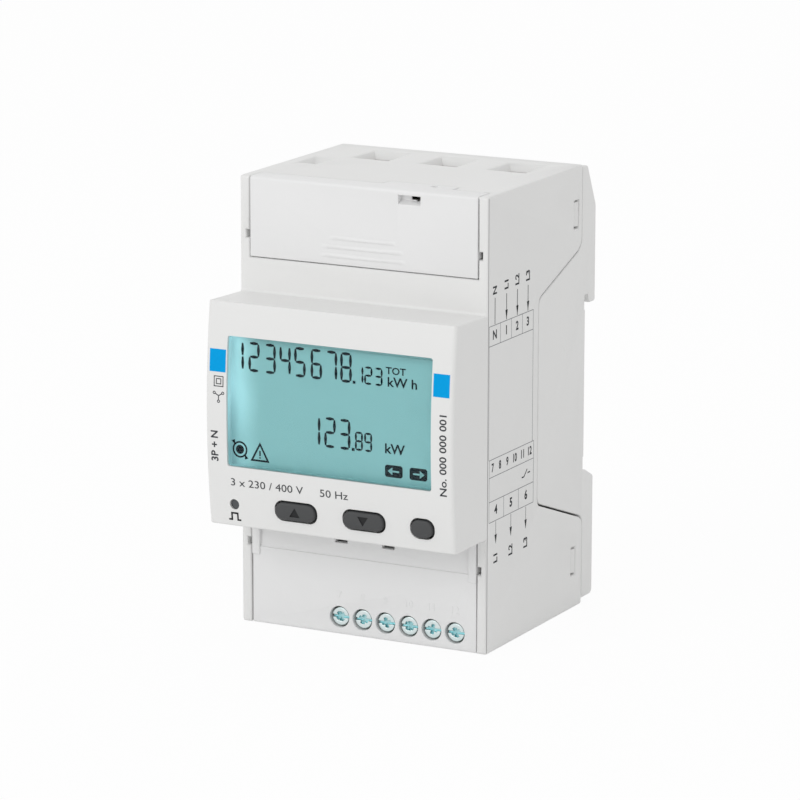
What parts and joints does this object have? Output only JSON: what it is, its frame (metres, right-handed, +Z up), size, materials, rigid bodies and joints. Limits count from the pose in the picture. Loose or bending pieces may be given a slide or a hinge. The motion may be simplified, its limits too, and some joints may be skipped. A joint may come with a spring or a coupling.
{
  "type": "din rail energy meter",
  "caption": "Three-phase energy meter for a 35 mm rail: bowed display nose, keys, pull-off terminal covers, wire funnels, spring rail clip.",
  "frame": {"origin": "middle of the rear base's face that seats on the front of the 35 mm rail", "axes": "+X right and +Z up as seen from the front, +Y from the front of the meter back to the wall"},
  "size_m": [0.054, 0.0628, 0.09],
  "materials": {
    "housing": "fine eroded",
    "cover": "fine eroded",
    "terminal_block": "satin",
    "window": "clear",
    "display": "semi gloss",
    "white_plastic": "satin",
    "diffuser": "satin",
    "contact_rubber": "matt",
    "circuit_board": "solder mask",
    "zinc_steel": "zinc plated",
    "key": "matt",
    "switch": "satin",
    "led": "clear lens",
    "light_pipe": "smoked",
    "header": "satin",
    "plated_steel": "nickel plated",
    "brass": "satin",
    "signal_plastic": "satin",
    "transformer": "taped",
    "capacitor": "sleeve",
    "surge_disc": "lacquered",
    "chip": "moulded",
    "clip": "satin",
    "spring_steel": "bright",
    "sensor": "moulded",
    "copper": "bare copper"
  },
  "bodies": {
    "meter": {"front_housing": "housing", "rear_base": "housing", "upper_terminal_block": "terminal_block", "lower_terminal_block": "terminal_block", "display_window": "window", "display_glass": "display", "display_frame": "white_plastic", "backlight": "diffuser", "contact_strips": "contact_rubber", "display_board": "circuit_board", "board_screws": "zinc_steel", "up_switch": "switch", "down_switch": "switch", "enter_switch": "switch", "pulse_led": "led", "light_pipe": "light_pipe", "main_board": "circuit_board", "board_header": "header", "current_sensor_1": "sensor", "current_sensor_2": "sensor", "current_sensor_3": "sensor", "current_bar_1": "copper", "current_bar_2": "copper", "current_bar_3": "copper", "line_cage_1": "plated_steel", "line_cage_2": "plated_steel", "line_cage_3": "plated_steel", "load_cage_1": "plated_steel", "load_cage_2": "plated_steel", "load_cage_3": "plated_steel", "neutral_cage": "plated_steel", "neutral_link": "brass", "line_screws": "zinc_steel", "load_screws": "zinc_steel", "neutral_screw": "zinc_steel", "signal_block": "signal_plastic", "signal_cages": "plated_steel", "signal_screws": "zinc_steel", "supply_transformer": "transformer", "supply_capacitors": "capacitor", "surge_discs": "surge_disc", "metering_chip": "chip", "clip_spring": "spring_steel"},
    "upper_cover": {"upper_terminal_cover": "cover"},
    "lower_cover": {"lower_terminal_cover": "cover"},
    "up_key": {"up_key": "key"},
    "down_key": {"down_key": "key"},
    "enter_key": {"enter_key": "key"},
    "clip": {"rail_clip": "clip"}
  },
  "joints": [
    {"name": "upper_cover_pull", "type": "slide", "parent": "meter", "child": "upper_cover", "axis": [0, -1, 0], "range_m": [0, 0.02]},
    {"name": "lower_cover_pull", "type": "slide", "parent": "meter", "child": "lower_cover", "axis": [0, -1, 0], "range_m": [0, 0.02]},
    {"name": "up_key_press", "type": "slide", "parent": "meter", "child": "up_key", "axis": [0, 1, 0], "range_m": [0, 0.00035], "stiffness_N_per_m": 2500, "springref_m": -0.0002},
    {"name": "down_key_press", "type": "slide", "parent": "meter", "child": "down_key", "axis": [0, 1, 0], "range_m": [0, 0.00035], "stiffness_N_per_m": 2500, "springref_m": -0.0002},
    {"name": "enter_key_press", "type": "slide", "parent": "meter", "child": "enter_key", "axis": [0, 1, 0], "range_m": [0, 0.00035], "stiffness_N_per_m": 2500, "springref_m": -0.0002},
    {"name": "rail_clip_pull", "type": "slide", "parent": "meter", "child": "clip", "axis": [0, 0, -1], "range_m": [0, 0.004], "stiffness_N_per_m": 1500, "springref_m": -0.001, "deforming": ["clip_spring"]}
  ]
}
